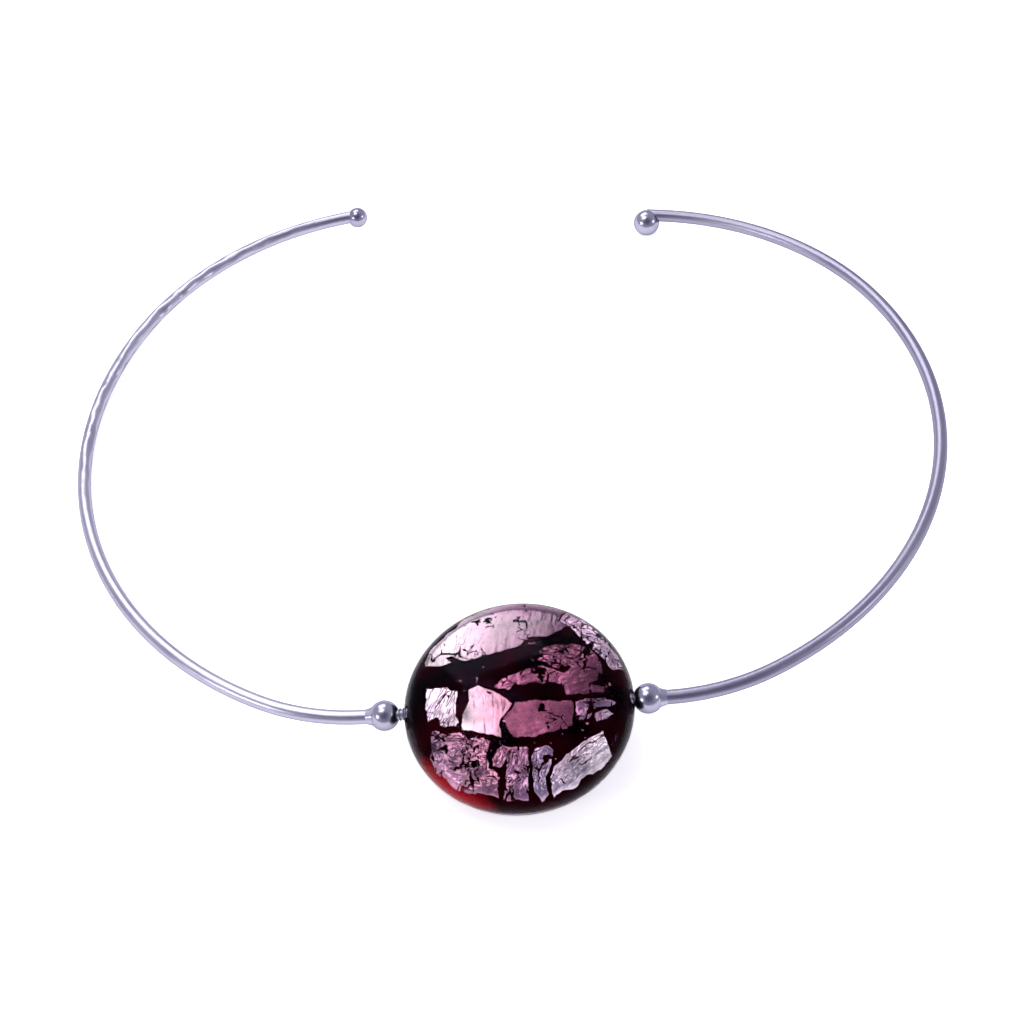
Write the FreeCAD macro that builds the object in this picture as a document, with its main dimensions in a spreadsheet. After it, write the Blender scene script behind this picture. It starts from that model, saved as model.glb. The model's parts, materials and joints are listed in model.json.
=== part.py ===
import FreeCAD, Part
import math
import os
import Sketcher
from FreeCAD import Vector

# An open bangle bracelet: two bent wire arms that meet at a round glass bead.
#
# The bead is a coin-shaped disc of clear coloured glass, cased over a dark glass core, with
# crackled silver foil trapped between the two. It is strung across its diameter on a threaded
# stud that joins the two halves of the bangle. The stud is fixed in the left collar ball, and
# the right collar ball screws onto it, so the right half unscrews to take the bead off.
#
# Working frame, in millimetres: the stud lies along X with the bead at the origin, and the
# ring lies in the XY plane and opens towards +Y. The finished bracelet is then laid on a table
# at z = 0, leaning the way it comes to rest there.

SHEET = "dimensions"

# name, value, meaning
DIMENSIONS = (
    ("wire_diameter", 1.08, "round wire of both arms"),
    ("lead_length", 0.05, "straight wire between the solder and the first bend"),
    ("root_bend_radius", 17.6, "centre line of the wire, next to the collar ball"),
    ("root_bend_angle", 27.2, "degrees"),
    ("side_bend_radius", 29.3, "centre line of the wire, round the side of the wrist"),
    ("side_bend_angle", 90.2, "degrees"),
    ("tip_bend_radius", 24.6, "centre line of the wire, up to the open end"),
    ("tip_bend_angle", 52.2, "degrees"),
    ("tip_length", 1.3, "straight wire that ends inside the tip ball"),
    ("right_half_turn", 2.7, "degrees that the right half hangs below the left one"),
    ("collar_ball_diameter", 2.26, "balls on both sides of the bead"),
    ("wire_socket_floor", 0.35, "from the collar ball's centre to the end of the wire"),
    ("swivel_clearance", 0.02, "play of the right wire in the ball that screws on"),
    ("solder_reach", 0.25, "solder along the wire, beyond the ball"),
    ("solder_rise", 0.15, "solder above the wire where it meets the ball"),
    ("left_tip_diameter", 1.78, "ball on the left open end"),
    ("right_tip_diameter", 2.32, "ball on the right open end"),
    ("left_tip_droop", 0.16, "ball's centre from the wire's centre line"),
    ("right_tip_droop", 0.69, "ball's centre from the wire's centre line"),
    ("tip_droop_angle", 45.0, "degrees below the ring's plane, towards the wrist"),
    ("stud_diameter", 1.0, "over the thread's crests"),
    ("thread_pitch", 0.25, "coarse thread of a one millimetre stud"),
    ("thread_depth", 0.14, "crest to root"),
    ("left_thread_turns", 9, "ridges on the fixed end"),
    ("right_thread_turns", 7, "ridges on the end that unscrews"),
    ("stud_engagement", 1.20, "stud inside a collar ball, from the ball's face"),
    ("thread_clearance", 0.03, "play of the stud in the ball that screws on"),
    ("bead_diameter", 17.0, "outside of the glass"),
    ("bead_thickness", 6.4, "outside of the glass"),
    ("bead_rim_radius", 1.8, "rounding of the glass rim"),
    ("bead_lean", 6.7, "degrees that the bead's face leans from the ring's plane"),
    ("bore_clearance", 0.06, "play of the bead on the stud"),
    ("end_float", 0.50, "play of the bead between the two balls"),
    ("seat_clearance", 0.02, "gap between the bead and the right ball"),
    ("rim_glass", 0.40, "clear glass outside the core's rim"),
    ("face_glass", 0.95, "clear glass over the foil"),
    ("core_rim_radius", 1.25, "rounding of the core's rim"),
    ("foil_thickness", 0.06, "silver foil on each face of the core"),
    ("foil_margin", 0.05, "bare core between the foil and the rounding of the core's rim"),
    ("rift_width", 0.55, "wide cracks across the foil"),
    ("crack_width", 0.16, "narrow cracks up and down the foil"),
    ("table_roll", 4.4, "degrees that the left side leans down"),
    ("table_pitch", 0.2, "degrees that the open end leans down"),
)

RIFT_COUNT = 2
CRACK_COUNT = 3
FULL_TURN = 360

# The three points a sketch constraint can name on a line or an arc, and the sketch's axes.
START, END, CENTRE = 1, 2, 3
H_AXIS, V_AXIS = -1, -2
ORIGIN = (H_AXIS, START)


def cell(name):
    """The expression that reads one driving dimension."""
    return "%s.%s" % (SHEET, name)


# Sizes worked out from the driving ones, as expressions.
WIRE_RADIUS = "(%s / 2)" % cell("wire_diameter")
BALL_RADIUS = "(%s / 2)" % cell("collar_ball_diameter")
SOLDER_END = "(%s + %s)" % (BALL_RADIUS, cell("solder_reach"))
LEAD_END = "(%s + %s)" % (SOLDER_END, cell("lead_length"))
STUD_RADIUS = "(%s / 2)" % cell("stud_diameter")
BORE_RADIUS = "(%s + %s)" % (STUD_RADIUS, cell("bore_clearance"))
GLASS_RADIUS = "(%s / 2)" % cell("bead_diameter")
GLASS_HALF = "(%s / 2)" % cell("bead_thickness")
GLASS_RIM = cell("bead_rim_radius")
CORE_RADIUS = "(%s - %s)" % (GLASS_RADIUS, cell("rim_glass"))
CORE_HALF = "(%s - %s - %s)" % (GLASS_HALF, cell("face_glass"), cell("foil_thickness"))
CORE_RIM = cell("core_rim_radius")
FOIL_RADIUS = "(%s - %s - %s)" % (CORE_RADIUS, CORE_RIM, cell("foil_margin"))
CORE_DOME = "(((%s - %s)^2 + %s^2 - %s^2) / (2 * (%s - %s)))" % (
    CORE_RADIUS, CORE_RIM, CORE_HALF, CORE_RIM, CORE_HALF, CORE_RIM)

# The bead's bore opens at MOUTH_X in its rim, and a ball sits in that mouth with its centre
# SEAT_X further out. The balls are as far apart as that and the bead's end float make them.
MOUTH_X = "sqrt(%s^2 - %s^2)" % (GLASS_RADIUS, BORE_RADIUS)
SEAT_X = "sqrt(%s^2 - %s^2)" % (BALL_RADIUS, BORE_RADIUS)
BALL_X = "(%s + %s + %s / 2)" % (MOUTH_X, SEAT_X, cell("end_float"))
BEAD_X = "(%s / 2 - %s)" % (cell("end_float"), cell("seat_clearance"))
STUD_HALF = "(%s - %s + %s)" % (BALL_X, BALL_RADIUS, cell("stud_engagement"))


def make_sheet(document):
    """Write the driving dimensions, one row each, with their names as aliases."""
    sheet = document.addObject("Spreadsheet::Sheet", SHEET)
    for row, (name, value, meaning) in enumerate(DIMENSIONS, start=1):
        sheet.set("A%d" % row, name)
        sheet.set("B%d" % row, str(value))
        sheet.setAlias("B%d" % row, name)
        sheet.set("C%d" % row, meaning)
    document.recompute()
    return sheet


def size(sheet, expression):
    """The present value of a size expression, for placing finished pieces."""
    return float(sheet.evalExpression(expression))


def new_body(document, label):
    body = document.addObject("PartDesign::Body", label)
    body.Label = label
    return body


def new_sketch(body, name, role, offset="0"):
    """An empty sketch on one of the body's own origin planes, moved along its normal."""
    planes = [plane for plane in body.Origin.OriginFeatures if plane.Role == role]
    sketch = body.newObject("Sketcher::SketchObject", name)
    sketch.AttachmentSupport = [(planes[0], "")]
    sketch.MapMode = "FlatFace"
    sketch.setExpression("AttachmentOffset.Base.z", offset)
    return sketch


def hold(sketch, kind, *where):
    """A constraint with no size of its own, such as a tangency."""
    sketch.addConstraint(Sketcher.Constraint(kind, *where))


def bind(sketch, kind, where, expression):
    """A dimension whose value comes from the sheet."""
    value = sketch.evalExpression(expression)
    if kind == "Angle":
        value = math.radians(value)
    index = sketch.addConstraint(Sketcher.Constraint(kind, *where, float(value)))
    sketch.setExpression("Constraints[%d]" % index, expression)


def line(sketch, start, end):
    return sketch.addGeometry(Part.LineSegment(Vector(*start, 0), Vector(*end, 0)))


def arc(sketch, centre, radius, first, last):
    """An arc of a circle, counter-clockwise from the first angle to the last, in radians."""
    circle = Part.Circle(Vector(*centre, 0), Vector(0, 0, 1), radius)
    return sketch.addGeometry(Part.ArcOfCircle(circle, first, last))


def circle_at_origin(sketch, radius):
    ring = sketch.addGeometry(Part.Circle(Vector(0, 0, 0), Vector(0, 0, 1), size(sketch, radius)))
    hold(sketch, "Coincident", ring, CENTRE, *ORIGIN)
    bind(sketch, "Radius", (ring,), radius)
    return ring


def revolve(body, name, sketch, axis, cut=False):
    """Turn a half outline once round one of its sketch's axes, to add or to cut."""
    kind = "PartDesign::Groove" if cut else "PartDesign::Revolution"
    feature = body.newObject(kind, name)
    feature.Profile = sketch
    feature.ReferenceAxis = (sketch, [axis])
    feature.Angle = FULL_TURN
    return feature


def drill(body, name, radius, floor, outward):
    """A round hole along X: from x = floor out through the +X side, or the -X side."""
    sketch = new_sketch(body, name + "_outline", "YZ_Plane", floor)
    circle_at_origin(sketch, radius)
    hole = body.newObject("PartDesign::Pocket", name)
    hole.Profile = sketch
    hole.Type = "ThroughAll"
    hole.Reversed = outward
    return hole


def add_sphere(body, name, radius):
    """A ball at the body's origin, turned from a half disc."""
    value = size(body, radius)
    sketch = new_sketch(body, name + "_outline", "XY_Plane")
    dome = arc(sketch, (0, 0), value, 0, math.pi)
    axis = line(sketch, (-value, 0), (value, 0))
    hold(sketch, "Coincident", dome, CENTRE, *ORIGIN)
    hold(sketch, "Coincident", dome, END, axis, START)
    hold(sketch, "Coincident", dome, START, axis, END)
    hold(sketch, "PointOnObject", axis, START, H_AXIS)
    hold(sketch, "PointOnObject", axis, END, H_AXIS)
    bind(sketch, "Radius", (dome,), radius)
    revolve(body, name, sketch, "H_Axis")


def make_arm(document, label):
    """One wire arm: straight out of the ball, three bends that flow together, a straight tip.

    Both arms are this same piece. Its origin is the centre of its collar ball, and the wire
    leaves along +X and bends towards +Y.
    """
    body = new_body(document, label)
    path = new_sketch(body, label + "_path", "XY_Plane")
    floor = size(path, cell("wire_socket_floor"))
    reach = size(path, LEAD_END)
    lead = line(path, (floor, 0), (reach, 0))
    hold(path, "PointOnObject", lead, START, H_AXIS)
    hold(path, "PointOnObject", lead, END, H_AXIS)
    bind(path, "DistanceX", (*ORIGIN, lead, START), cell("wire_socket_floor"))
    bind(path, "DistanceX", (*ORIGIN, lead, END), LEAD_END)

    before, place, heading = lead, (reach, 0.0), 0.0
    for bend in ("root_bend", "side_bend", "tip_bend"):
        radius = size(path, cell(bend + "_radius"))
        turn = math.radians(size(path, cell(bend + "_angle")))
        centre = (place[0] - radius * math.sin(heading), place[1] + radius * math.cos(heading))
        first = heading - math.pi / 2
        piece = arc(path, centre, radius, first, first + turn)
        hold(path, "Tangent", before, END, piece, START)
        bind(path, "Radius", (piece,), cell(bend + "_radius"))
        bind(path, "Angle", (piece,), cell(bend + "_angle"))
        heading += turn
        place = (centre[0] + radius * math.sin(heading), centre[1] - radius * math.cos(heading))
        before = piece

    length = size(path, cell("tip_length"))
    end = (place[0] + length * math.cos(heading), place[1] + length * math.sin(heading))
    tip = line(path, place, end)
    hold(path, "Tangent", before, END, tip, START)
    bind(path, "Distance", (tip,), cell("tip_length"))

    section = new_sketch(body, label + "_section", "YZ_Plane", cell("wire_socket_floor"))
    circle_at_origin(section, WIRE_RADIUS)
    document.recompute()
    wire = body.newObject("PartDesign::AdditivePipe", label + "_wire")
    wire.Profile = section
    wire.Spine = (path, ["Edge%d" % (index + 1) for index in range(len(path.Geometry))])
    return body, path


def make_collar_ball(document, label, thread_play, swivel_play):
    """A ball beside the bead: the stud goes in from -X and the arm's wire from +X."""
    body = new_body(document, label)
    add_sphere(body, label + "_sphere", BALL_RADIUS)
    stud_floor = "%s - %s + %s" % (cell("stud_engagement"), BALL_RADIUS, thread_play)
    drill(body, label + "_stud_hole", "%s + %s" % (STUD_RADIUS, thread_play), stud_floor, False)
    wire_floor = "%s - %s" % (cell("wire_socket_floor"), swivel_play)
    drill(body, label + "_wire_socket", "%s + %s" % (WIRE_RADIUS, swivel_play), wire_floor, True)
    return body


def make_collar_solder(document, label, swivel_play):
    """The collar of solder that runs from the ball onto the wire, as a ring round X."""
    body = new_body(document, label)
    sketch = new_sketch(body, label + "_outline", "XY_Plane")
    ball = size(sketch, BALL_RADIUS)
    inner_radius = "%s + %s" % (WIRE_RADIUS, swivel_play)
    outer_radius = "%s + %s" % (inner_radius, cell("solder_rise"))
    inner = size(sketch, inner_radius)
    outer = size(sketch, outer_radius)
    foot = size(sketch, SOLDER_END)

    inner_angle = math.asin(inner / ball)
    outer_angle = math.asin(outer / ball)
    on_ball = arc(sketch, (0, 0), ball, inner_angle, outer_angle)
    low = (ball * math.cos(inner_angle), inner)
    high = (ball * math.cos(outer_angle), outer)
    on_wire = line(sketch, low, (foot, inner))
    slope = line(sketch, (foot, inner), high)
    hold(sketch, "Coincident", on_ball, CENTRE, *ORIGIN)
    hold(sketch, "Coincident", on_ball, START, on_wire, START)
    hold(sketch, "Coincident", on_wire, END, slope, START)
    hold(sketch, "Coincident", slope, END, on_ball, END)
    hold(sketch, "Horizontal", on_wire)
    bind(sketch, "Radius", (on_ball,), BALL_RADIUS)
    bind(sketch, "DistanceY", (*ORIGIN, on_wire, START), inner_radius)
    bind(sketch, "DistanceY", (*ORIGIN, slope, END), outer_radius)
    bind(sketch, "DistanceX", (*ORIGIN, slope, START), SOLDER_END)
    revolve(body, label + "_ring", sketch, "H_Axis")
    return body


def make_tip_ball(document, label, diameter, droop, upward):
    """A ball on an open end, drilled off its centre so that the wire meets its upper side.

    Its origin is its own centre, and the wire comes in from +X and stops level with it.
    """
    body = new_body(document, label)
    add_sphere(body, label + "_sphere", "%s / 2" % diameter)
    sketch = new_sketch(body, label + "_socket_outline", "YZ_Plane")
    across = "%s * cos(%s * 1 deg)" % (droop, cell("tip_droop_angle"))
    above = "%s * sin(%s * 1 deg)" % (droop, cell("tip_droop_angle"))
    middle = Vector(size(sketch, across), upward * size(sketch, above), 0)
    hole = sketch.addGeometry(Part.Circle(middle, Vector(0, 0, 1), size(sketch, WIRE_RADIUS)))
    bind(sketch, "Radius", (hole,), WIRE_RADIUS)
    bind(sketch, "DistanceX", (*ORIGIN, hole, CENTRE), across)
    if upward > 0:
        bind(sketch, "DistanceY", (*ORIGIN, hole, CENTRE), above)
    else:
        bind(sketch, "DistanceY", (hole, CENTRE, *ORIGIN), above)
    socket = body.newObject("PartDesign::Pocket", label + "_socket")
    socket.Profile = sketch
    socket.Type = "ThroughAll"
    socket.Reversed = True
    return body


def cut_thread(body, name, side, turns):
    """Ring grooves at one end of the stud, one for each turn of the thread."""
    sketch = new_sketch(body, name + "_outline", "XY_Plane")
    crest = size(sketch, STUD_RADIUS)
    pitch = size(sketch, cell("thread_pitch"))
    depth = size(sketch, cell("thread_depth"))
    middle = side * (size(sketch, STUD_HALF) - pitch / 2)
    left = (middle - pitch / 2, crest)
    right = (middle + pitch / 2, crest)
    root = (middle, crest - depth)
    root_radius = "%s - %s" % (STUD_RADIUS, cell("thread_depth"))
    top = line(sketch, left, right)
    rise = line(sketch, right, root)
    fall = line(sketch, root, left)
    hold(sketch, "Coincident", top, END, rise, START)
    hold(sketch, "Coincident", rise, END, fall, START)
    hold(sketch, "Coincident", fall, END, top, START)
    hold(sketch, "Horizontal", top)
    hold(sketch, "Equal", rise, fall)
    bind(sketch, "DistanceY", (*ORIGIN, top, START), STUD_RADIUS)
    bind(sketch, "DistanceX", (top, START, top, END), cell("thread_pitch"))
    bind(sketch, "DistanceY", (*ORIGIN, fall, START), root_radius)
    if side > 0:
        bind(sketch, "DistanceX", (*ORIGIN, top, END), STUD_HALF)
    else:
        bind(sketch, "DistanceX", (top, START, *ORIGIN), STUD_HALF)
    groove = revolve(body, name + "_groove", sketch, "H_Axis", cut=True)
    body.Document.recompute()

    pattern = body.newObject("PartDesign::LinearPattern", name)
    pattern.Originals = [groove]
    pattern.Direction = (sketch, ["H_Axis"])
    pattern.Reversed = side > 0
    pattern.setExpression("Length", "%s * (%s - 1)" % (cell("thread_pitch"), turns))
    pattern.setExpression("Occurrences", turns)
    body.Tip = pattern
    body.Document.recompute()


def make_stud(document, label):
    """The rod through the bead: plain in the middle and threaded at both ends."""
    body = new_body(document, label)
    sketch = new_sketch(body, label + "_section", "YZ_Plane")
    circle_at_origin(sketch, STUD_RADIUS)
    rod = body.newObject("PartDesign::Pad", label + "_rod")
    rod.Profile = sketch
    rod.Midplane = True
    rod.setExpression("Length", "2 * %s" % STUD_HALF)
    document.recompute()
    cut_thread(body, "left_thread", -1, cell("left_thread_turns"))
    cut_thread(body, "right_thread", 1, cell("right_thread_turns"))
    return body


def lens_outline(sketch, radius, half, rim):
    """Half the section of a domed disc, to turn round the sketch's vertical axis.

    A rounded rim runs smoothly into a shallow dome on each side.
    """
    rim_value = size(sketch, rim)
    half_value = size(sketch, half)
    rim_x = size(sketch, radius) - rim_value
    dome = (rim_x ** 2 + half_value ** 2 - rim_value ** 2) / (2 * (half_value - rim_value))
    spread = math.asin(rim_x / (dome - rim_value))
    quarter = math.pi / 2
    axis = line(sketch, (0, -half_value), (0, half_value))
    lower = arc(sketch, (0, dome - half_value), dome, -quarter, spread - quarter)
    edge = arc(sketch, (rim_x, 0), rim_value, spread - quarter, quarter - spread)
    upper = arc(sketch, (0, half_value - dome), dome, quarter - spread, quarter)
    hold(sketch, "Coincident", axis, START, lower, START)
    hold(sketch, "Tangent", lower, END, edge, START)
    hold(sketch, "Tangent", edge, END, upper, START)
    hold(sketch, "Coincident", upper, END, axis, END)
    hold(sketch, "PointOnObject", axis, END, V_AXIS)
    hold(sketch, "Symmetric", axis, START, axis, END, *ORIGIN)
    hold(sketch, "PointOnObject", lower, CENTRE, V_AXIS)
    hold(sketch, "PointOnObject", upper, CENTRE, V_AXIS)
    hold(sketch, "PointOnObject", edge, CENTRE, H_AXIS)
    bind(sketch, "Radius", (edge,), rim)
    bind(sketch, "DistanceX", (*ORIGIN, edge, CENTRE), "%s - %s" % (radius, rim))
    bind(sketch, "DistanceY", (*ORIGIN, axis, END), half)


def foil_outline(sketch, side):
    """Half the section of the foil on one face of the core: a thin domed sheet."""
    dome = size(sketch, CORE_DOME)
    half = size(sketch, CORE_HALF)
    reach = size(sketch, FOIL_RADIUS)
    thick = size(sketch, cell("foil_thickness"))
    quarter = math.pi / 2
    middle = (0, side * (half - dome))
    arcs, edges = [], []
    for radius in (dome, dome + thick):
        lift = math.acos(reach / radius)
        first, last = (lift, quarter) if side > 0 else (-quarter, -lift)
        arcs.append(arc(sketch, middle, radius, first, last))
        edges.append((reach, middle[1] + side * radius * math.sin(lift)))
    under, over = arcs
    axis = line(sketch, (0, side * half), (0, side * (half + thick)))
    edge = line(sketch, *edges)
    at_axis, at_edge = (END, START) if side > 0 else (START, END)
    hold(sketch, "Coincident", under, at_axis, axis, START)
    hold(sketch, "Coincident", over, at_axis, axis, END)
    hold(sketch, "Coincident", under, at_edge, edge, START)
    hold(sketch, "Coincident", over, at_edge, edge, END)
    hold(sketch, "Coincident", under, CENTRE, over, CENTRE)
    hold(sketch, "PointOnObject", under, CENTRE, V_AXIS)
    hold(sketch, "PointOnObject", axis, START, V_AXIS)
    hold(sketch, "Vertical", axis)
    hold(sketch, "Vertical", edge)
    bind(sketch, "Radius", (under,), CORE_DOME)
    bind(sketch, "DistanceX", (*ORIGIN, edge, START), FOIL_RADIUS)
    if side > 0:
        bind(sketch, "DistanceY", (*ORIGIN, axis, START), CORE_HALF)
        bind(sketch, "DistanceY", (axis, START, axis, END), cell("foil_thickness"))
    else:
        bind(sketch, "DistanceY", (axis, START, *ORIGIN), CORE_HALF)
        bind(sketch, "DistanceY", (axis, END, axis, START), cell("foil_thickness"))


def bore_through(body, name):
    """The hole across the bead's diameter, along X."""
    sketch = new_sketch(body, name + "_outline", "YZ_Plane")
    circle_at_origin(sketch, BORE_RADIUS)
    bore = body.newObject("PartDesign::Pocket", name)
    bore.Profile = sketch
    bore.Type = "ThroughAll"
    bore.Midplane = True


def make_core(document, label):
    """The dark glass in the middle of the bead."""
    body = new_body(document, label)
    sketch = new_sketch(body, label + "_outline", "XZ_Plane")
    lens_outline(sketch, CORE_RADIUS, CORE_HALF, CORE_RIM)
    revolve(body, label + "_disc", sketch, "V_Axis")
    bore_through(body, label + "_bore")
    return body


def make_casing(document, label):
    """The clear glass round the core, with room in it for the core and both foils."""
    body = new_body(document, label)
    outside = new_sketch(body, label + "_outline", "XZ_Plane")
    lens_outline(outside, GLASS_RADIUS, GLASS_HALF, GLASS_RIM)
    revolve(body, label + "_disc", outside, "V_Axis")
    room = new_sketch(body, label + "_core_room_outline", "XZ_Plane")
    lens_outline(room, CORE_RADIUS, CORE_HALF, CORE_RIM)
    revolve(body, label + "_core_room", room, "V_Axis", cut=True)
    for side, face in ((1, "front"), (-1, "back")):
        pocket = new_sketch(body, "%s_%s_room_outline" % (label, face), "XZ_Plane")
        foil_outline(pocket, side)
        revolve(body, "%s_%s_room" % (label, face), pocket, "V_Axis", cut=True)
    bore_through(body, label + "_bore")
    return body


def cut_cracks(body, name, count, width, across):
    """Evenly spaced straight cracks right through the foil, along X or along Y."""
    sketch = new_sketch(body, name + "_outline", "XY_Plane")
    reach = size(sketch, FOIL_RADIUS)
    half_width = size(sketch, width) / 2
    along, over = ("DistanceX", "DistanceY") if across else ("DistanceY", "DistanceX")
    for index in range(count):
        station = "(%s * %d / %d)" % (FOIL_RADIUS, 2 * (index + 1) - (count + 1), count + 1)
        near = (-reach, size(sketch, station) - half_width)
        far = (reach, size(sketch, station) + half_width)
        if not across:
            near = near[::-1]
            far = far[::-1]
        corners = [near, (far[0], near[1]), far, (near[0], far[1])]
        sides = [line(sketch, corners[turn - 1], corners[turn]) for turn in range(len(corners))]
        for turn, side in enumerate(sides):
            hold(sketch, "Coincident", sides[turn - 1], END, side, START)
            hold(sketch, "Horizontal" if turn % 2 else "Vertical", side)
        at_near = (sides[0], END)
        at_far = (sides[2], END)
        bind(sketch, along, (*at_near, *ORIGIN), FOIL_RADIUS)
        bind(sketch, along, (*ORIGIN, *at_far), FOIL_RADIUS)
        bind(sketch, over, (*at_near, *at_far), width)
        bind(sketch, over, (*ORIGIN, *at_near), "%s - %s / 2" % (station, width))
    cracks = body.newObject("PartDesign::Pocket", name)
    cracks.Profile = sketch
    cracks.Type = "ThroughAll"
    cracks.Reversed = True


def make_foil(document, label):
    """Silver foil on one face of the core, broken into flakes by wide and narrow cracks."""
    body = new_body(document, label)
    sketch = new_sketch(body, label + "_outline", "XZ_Plane")
    foil_outline(sketch, 1)
    revolve(body, label + "_sheet", sketch, "V_Axis")
    document.recompute()
    cut_cracks(body, label + "_rifts", RIFT_COUNT, cell("rift_width"), True)
    cut_cracks(body, label + "_cracks", CRACK_COUNT, cell("crack_width"), False)
    return body


def turned(axis, degrees):
    return FreeCAD.Placement(Vector(), FreeCAD.Rotation(axis, degrees))


def moved(x, y=0.0, z=0.0):
    return FreeCAD.Placement(Vector(x, y, z), FreeCAD.Rotation())


def tip_placement(path, sheet, droop, downward):
    """Where a tip ball sits, in its arm's frame, found from the end of the arm's wire."""
    last = path.Geometry[-1]
    run = last.EndPoint - last.StartPoint
    heading = math.degrees(math.atan2(run.y, run.x))
    fall = math.radians(size(sheet, cell("tip_droop_angle")))
    distance = size(sheet, droop)
    inward = Vector(-run.y, run.x, 0).normalize() * (distance * math.cos(fall))
    below = Vector(0, 0, -downward * distance * math.sin(fall))
    towards_wire = FreeCAD.Rotation(Vector(0, 0, 1), heading + FULL_TURN / 2)
    return FreeCAD.Placement(last.EndPoint + inward + below, towards_wire)


def build_half(document, sheet, side):
    """One half of the bangle: arm, collar ball, solder and tip ball, in the working frame."""
    right = side == "right"
    swivel = cell("swivel_clearance") if right else "0"
    thread = cell("thread_clearance") if right else "0"
    droop = cell(side + "_tip_droop")
    up = 1 if right else -1
    arm, path = make_arm(document, side + "_arm")
    ball = make_collar_ball(document, side + "_collar_ball", thread, swivel)
    solder = make_collar_solder(document, side + "_collar_solder", swivel)
    tip = make_tip_ball(document, side + "_tip_ball", cell(side + "_tip_diameter"), droop, up)
    document.recompute()

    facing = FreeCAD.Placement() if right else turned(Vector(0, 1, 0), FULL_TURN / 2)
    hang = turned(Vector(1, 0, 0), -size(sheet, cell("right_half_turn")) if right else 0)
    at_ball = hang.multiply(facing).multiply(moved(size(sheet, BALL_X)))
    for piece in (arm, ball, solder):
        piece.Placement = at_ball
    tip.Placement = at_ball.multiply(tip_placement(path, sheet, droop, up))
    return [arm, ball, solder, tip]


def build_bead(document, sheet):
    """The glass bead on the stud, leaning forward and pushed against the right ball."""
    core = make_core(document, "glass_core")
    casing = make_casing(document, "glass_casing")
    front = make_foil(document, "silver_foil_front")
    back = make_foil(document, "silver_foil_back")
    document.recompute()
    lean = turned(Vector(1, 0, 0), size(sheet, cell("bead_lean")))
    at_stud = moved(size(sheet, BEAD_X)).multiply(lean)
    for piece in (core, casing, front):
        piece.Placement = at_stud
    back.Placement = at_stud.multiply(turned(Vector(1, 0, 0), FULL_TURN / 2))
    return [core, casing, front, back]


def lay_on_table(document, sheet, pieces):
    """Lean the whole bracelet as it rests, then centre it on the origin with its foot at z = 0."""
    roll = turned(Vector(0, 1, 0), -size(sheet, cell("table_roll")))
    pitch = turned(Vector(1, 0, 0), -size(sheet, cell("table_pitch")))
    lean = pitch.multiply(roll)
    for piece in pieces:
        piece.Placement = lean.multiply(piece.Placement)
    document.recompute()
    box = FreeCAD.BoundBox()
    for piece in pieces:
        box.add(piece.Shape.optimalBoundingBox(False, False))
    shift = moved(-box.Center.x, -box.Center.y, -box.ZMin)
    for piece in pieces:
        piece.Placement = shift.multiply(piece.Placement)
    document.recompute()


def check(document, pieces):
    """Stop if any object failed to build, or any piece came out empty or broken."""
    for item in document.Objects:
        if "Invalid" in item.State or "Error" in item.State:
            raise RuntimeError("%s failed: %s" % (item.Name, item.State))
    for piece in pieces:
        if piece.Shape.isNull() or not piece.Shape.isValid() or piece.Shape.Volume <= 0:
            raise RuntimeError("%s has no sound shape" % piece.Label)


def export(pieces):
    os.makedirs("parts", exist_ok=True)
    for piece in pieces:
        piece.Shape.exportStep("parts/%s.step" % piece.Label)
        solids = len(piece.Shape.Solids)
        print("%-22s %3d solids %10.3f mm3" % (piece.Label, solids, piece.Shape.Volume))


def main():
    document = FreeCAD.newDocument("bangle_bracelet")
    sheet = make_sheet(document)
    pieces = build_half(document, sheet, "left") + build_half(document, sheet, "right")
    pieces.append(make_stud(document, "threaded_stud"))
    pieces += build_bead(document, sheet)
    document.recompute()
    lay_on_table(document, sheet, pieces)
    check(document, pieces)
    export(pieces)
    return document, pieces


DOCUMENT, PIECES = main()
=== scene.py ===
import json
import math
from collections import namedtuple

import bmesh
import bpy
import numpy as np
from mathutils import Matrix, Vector


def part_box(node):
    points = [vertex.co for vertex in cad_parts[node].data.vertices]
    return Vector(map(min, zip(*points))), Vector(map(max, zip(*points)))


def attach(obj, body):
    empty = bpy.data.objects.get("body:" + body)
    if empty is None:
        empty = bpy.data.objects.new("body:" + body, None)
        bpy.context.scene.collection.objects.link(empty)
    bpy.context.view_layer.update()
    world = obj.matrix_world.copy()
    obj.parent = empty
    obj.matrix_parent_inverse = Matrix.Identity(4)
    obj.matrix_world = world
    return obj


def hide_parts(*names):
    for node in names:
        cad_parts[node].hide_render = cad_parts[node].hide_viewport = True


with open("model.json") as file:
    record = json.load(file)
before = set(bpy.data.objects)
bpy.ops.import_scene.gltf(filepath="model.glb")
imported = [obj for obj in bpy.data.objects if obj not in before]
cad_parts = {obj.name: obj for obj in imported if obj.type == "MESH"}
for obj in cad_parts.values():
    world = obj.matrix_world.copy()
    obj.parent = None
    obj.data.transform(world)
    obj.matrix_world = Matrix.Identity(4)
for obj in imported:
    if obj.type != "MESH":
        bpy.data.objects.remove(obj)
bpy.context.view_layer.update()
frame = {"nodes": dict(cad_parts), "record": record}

MM = 0.001

# ---------------------------------------------------------------------------------------
# Places and directions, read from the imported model
# ---------------------------------------------------------------------------------------

JOINTS = {joint["name"]: joint for joint in frame["record"]["behaviour"]["joints"]}
MOUNTS = {mount["name"]: mount for mount in frame["record"]["mounts"]}
STUD_PLACE = Vector(JOINTS["bead_spin"]["pos_m"])
STUD_AXIS = Vector(JOINTS["bead_spin"]["axis"]).normalized()
RING_NORMAL = Vector(MOUNTS["wrist_opening"]["axis"]).normalized()
RING_FORWARD = RING_NORMAL.cross(STUD_AXIS).normalized()

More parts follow.
